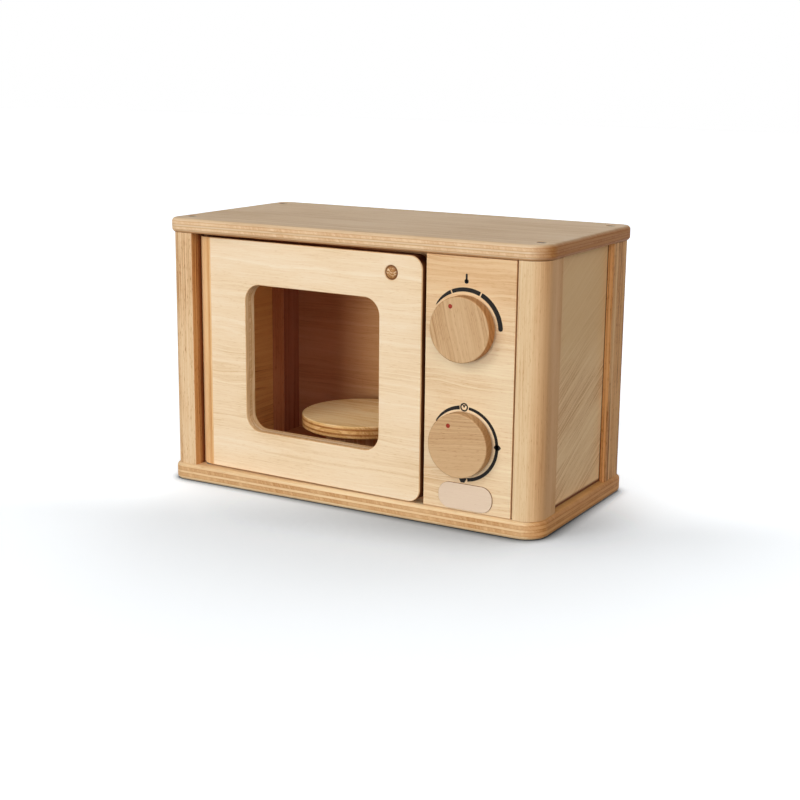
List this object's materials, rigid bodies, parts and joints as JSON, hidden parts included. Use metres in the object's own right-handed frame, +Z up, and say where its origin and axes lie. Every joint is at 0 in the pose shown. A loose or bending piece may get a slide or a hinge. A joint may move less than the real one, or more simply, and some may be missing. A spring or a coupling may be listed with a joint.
{
  "type": "toy microwave",
  "caption": "wooden toy microwave in birch plywood with rounded corner posts, a hinged door with an open window, turning dial knobs and a turntable on a square pedestal",
  "frame": {"origin": "centre of the underside of the base board, on the surface that the toy stands on", "axes": "+X to the viewer's right facing the door, +Y to the back, +Z up"},
  "size_m": [0.324, 0.1698, 0.211],
  "materials": {
    "birch_plywood": "satin clear lacquer over pale birch veneer",
    "hardwood_posts": "satin clear lacquer over warm straight-grained hardwood",
    "hardwood_parts": "satin clear lacquer over turned and cut hardwood",
    "zinc_plated_steel": "plain zinc-plated steel",
    "felt": "thin pressed grey-brown felt",
    "pale_plate": "pale bare plate, matte",
    "printed_ink": "black screen-printed ink, for the dial marks that the scene adds",
    "red_paint": "red paint, for the dots on the knobs that the scene adds",
    "magnet": "plain nickel-plated magnet"
  },
  "bodies": {
    "housing": {"base_board": "birch_plywood", "top_board": "birch_plywood", "front_left_post": "hardwood_posts", "front_right_post": "hardwood_posts", "back_left_post": "hardwood_posts", "back_right_post": "hardwood_posts", "left_side_panel": "birch_plywood", "right_side_panel": "birch_plywood", "back_panel": "birch_plywood", "control_panel": "birch_plywood", "panel_dowels": "hardwood_parts", "divider_panel": "birch_plywood", "badge_plate": "pale_plate", "top_screws": "zinc_plated_steel", "base_screws": "zinc_plated_steel", "upper_hinge_pin": "hardwood_parts", "lower_hinge_pin": "hardwood_parts", "hinge_washer": "felt", "door_stop_block": "hardwood_parts", "striker_plate": "zinc_plated_steel", "stop_block_screw": "zinc_plated_steel", "turntable_pedestal": "hardwood_parts", "turntable_felt_washer": "felt"},
    "door": {"door_panel": "birch_plywood", "magnet_plug": "hardwood_parts", "door_magnet": "magnet"},
    "temperature_control": {"temperature_knob": "hardwood_parts", "temperature_spindle": "hardwood_parts", "temperature_collar": "hardwood_parts", "temperature_felt_washer": "felt", "temperature_collar_screw": "zinc_plated_steel"},
    "timer_control": {"timer_knob": "hardwood_parts", "timer_spindle": "hardwood_parts", "timer_collar": "hardwood_parts", "timer_felt_washer": "felt", "timer_collar_screw": "zinc_plated_steel"},
    "turntable": {"turntable_plate": "birch_plywood", "turntable_spindle": "hardwood_parts"}
  },
  "joints": [
    {"name": "door_hinge", "type": "hinge", "parent": "housing", "child": "door", "pos_m": [-0.1327, -0.0679, 0.1055], "axis": [0, 0, -1], "range_deg": [-2.2, 93]},
    {"name": "temperature_knob_turn", "type": "hinge", "parent": "housing", "child": "temperature_control", "pos_m": [0.10005, -0.0787, 0.1484], "axis": [0, 1, 0], "continuous": true},
    {"name": "timer_knob_turn", "type": "hinge", "parent": "housing", "child": "timer_control", "pos_m": [0.10005, -0.0787, 0.0644], "axis": [0, 1, 0], "continuous": true},
    {"name": "turntable_turn", "type": "hinge", "parent": "housing", "child": "turntable", "pos_m": [-0.03408, 0.006, 0.0417], "axis": [0, 0, 1], "continuous": true}
  ]
}
